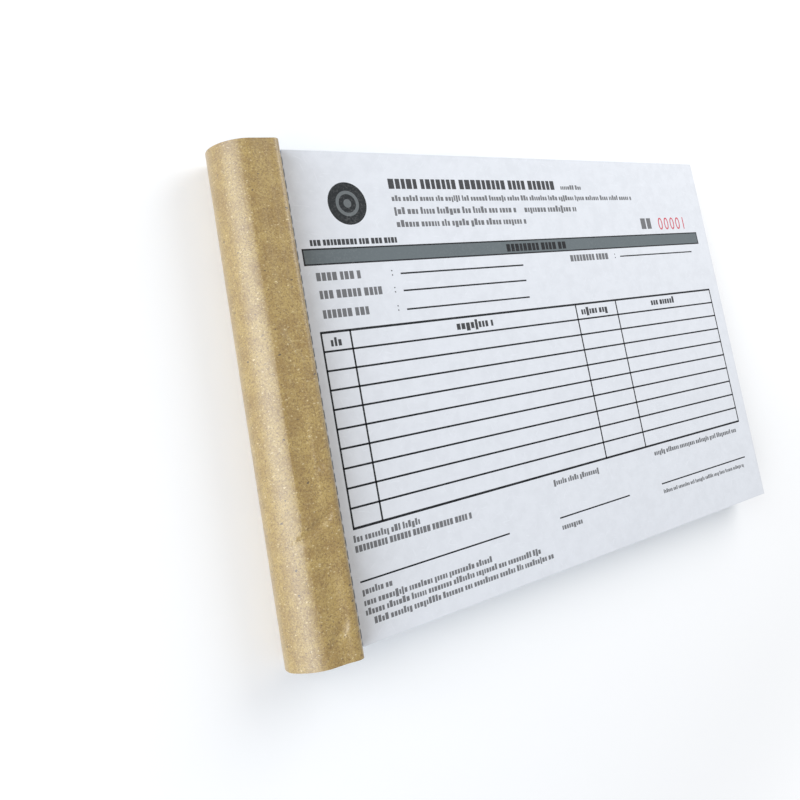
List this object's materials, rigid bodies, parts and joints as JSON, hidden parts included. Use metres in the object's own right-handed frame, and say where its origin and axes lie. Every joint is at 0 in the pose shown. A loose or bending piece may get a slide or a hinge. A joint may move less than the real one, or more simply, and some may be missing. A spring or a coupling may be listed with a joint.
{
  "type": "carbonless receipt pad",
  "caption": "Landscape carbonless form pad, stapled and glued on one short edge, its kraft cover folded back round the bound edge and lying under the pad.",
  "frame": {"origin": "on the resting plane, under the middle of the sheets", "axes": "+X along the long side away from the bound edge, +Y up the form, +Z out of the written face"},
  "size_m": [0.2237, 0.148, 0.0227],
  "materials": {
    "kraft_card": "matt recycled kraft card with dark and pale flecks",
    "white_paper": "matt white carbonless paper, printed in black and grey",
    "blue_paper": "matt blue carbonless paper",
    "pale_blue_paper": "matt pale blue carbonless paper",
    "paper_block": "cut edges of white and blue leaves",
    "grey_board": "matt grey recycled board",
    "shield_card": "smooth manila card",
    "padding_glue": "thin dried glue film over the leaf ends",
    "staple_wire": "bright flat stitching wire"
  },
  "bodies": {
    "bound_pad": {"backing_board": "grey_board", "remaining_sets": "paper_block", "original_stub": "white_paper", "first_copy_stub": "blue_paper", "second_copy_stub": "pale_blue_paper", "spine_glue_film": "padding_glue", "wire_staple_upper": "staple_wire", "wire_staple_lower": "staple_wire", "cover_binding_strip": "kraft_card"},
    "shield": {"writing_shield": "shield_card"},
    "original": {"original_leaf": "white_paper"},
    "first_copy": {"first_copy_leaf": "blue_paper"},
    "second_copy": {"second_copy_leaf": "pale_blue_paper"},
    "cover_rise": {"cover_rise_strip": "kraft_card"},
    "cover_bend_1": {"cover_bend_strip_1": "kraft_card"},
    "cover_bend_2": {"cover_bend_strip_2": "kraft_card"},
    "cover_bend_3": {"cover_bend_strip_3": "kraft_card"},
    "cover_bend_4": {"cover_bend_strip_4": "kraft_card"},
    "cover_bend_5": {"cover_bend_strip_5": "kraft_card"},
    "cover_bend_6": {"cover_bend_strip_6": "kraft_card"},
    "cover_flap": {"cover_panel": "kraft_card"}
  },
  "joints": [
    {"name": "cover_score", "type": "hinge", "parent": "bound_pad", "child": "cover_rise", "pos_m": [-0.0975, 0, 0.01417], "axis": [0, 1, 0], "range_deg": [0, 115.75]},
    {"name": "cover_fold_1", "type": "hinge", "parent": "cover_rise", "child": "cover_bend_1", "pos_m": [-0.10139, 0, 0.02223], "axis": [0, 1, 0], "range_deg": [0, 70.25]},
    {"name": "cover_fold_2", "type": "hinge", "parent": "cover_bend_1", "child": "cover_bend_2", "pos_m": [-0.11141, 0, 0.02118], "axis": [0, 1, 0], "range_deg": [0, 29]},
    {"name": "cover_fold_3", "type": "hinge", "parent": "cover_bend_2", "child": "cover_bend_3", "pos_m": [-0.11587, 0, 0.01805], "axis": [0, 1, 0], "range_deg": [0, 29]},
    {"name": "cover_fold_4", "type": "hinge", "parent": "cover_bend_3", "child": "cover_bend_4", "pos_m": [-0.11826, 0, 0.01315], "axis": [0, 1, 0], "range_deg": [0, 29]},
    {"name": "cover_fold_5", "type": "hinge", "parent": "cover_bend_4", "child": "cover_bend_5", "pos_m": [-0.11798, 0, 0.00771], "axis": [0, 1, 0], "range_deg": [0, 29]},
    {"name": "cover_fold_6", "type": "hinge", "parent": "cover_bend_5", "child": "cover_bend_6", "pos_m": [-0.11509, 0, 0.00309], "axis": [0, 1, 0], "range_deg": [0, 29]},
    {"name": "cover_fold_7", "type": "hinge", "parent": "cover_bend_6", "child": "cover_flap", "pos_m": [-0.11032, 0, 0.00045], "axis": [0, 1, 0], "range_deg": [0, 29]},
    {"name": "original_tear_off", "type": "slide", "parent": "bound_pad", "child": "original", "axis": [1, 0, 0], "range_m": [0, 0.205]},
    {"name": "first_copy_tear_off", "type": "slide", "parent": "bound_pad", "child": "first_copy", "axis": [1, 0, 0], "range_m": [0, 0.205]},
    {"name": "second_copy_tear_off", "type": "slide", "parent": "bound_pad", "child": "second_copy", "axis": [1, 0, 0], "range_m": [0, 0.205]},
    {"name": "shield_slide", "type": "slide", "parent": "bound_pad", "child": "shield", "axis": [1, 0, 0], "range_m": [0, 0.205]}
  ],
  "couplings": [
    {"joint": "cover_fold_1", "follows": "cover_score", "ratio": 0.60691},
    {"joint": "cover_fold_2", "follows": "cover_score", "ratio": 0.25054},
    {"joint": "cover_fold_3", "follows": "cover_score", "ratio": 0.25054},
    {"joint": "cover_fold_4", "follows": "cover_score", "ratio": 0.25054},
    {"joint": "cover_fold_5", "follows": "cover_score", "ratio": 0.25054},
    {"joint": "cover_fold_6", "follows": "cover_score", "ratio": 0.25054},
    {"joint": "cover_fold_7", "follows": "cover_score", "ratio": 0.25054}
  ]
}
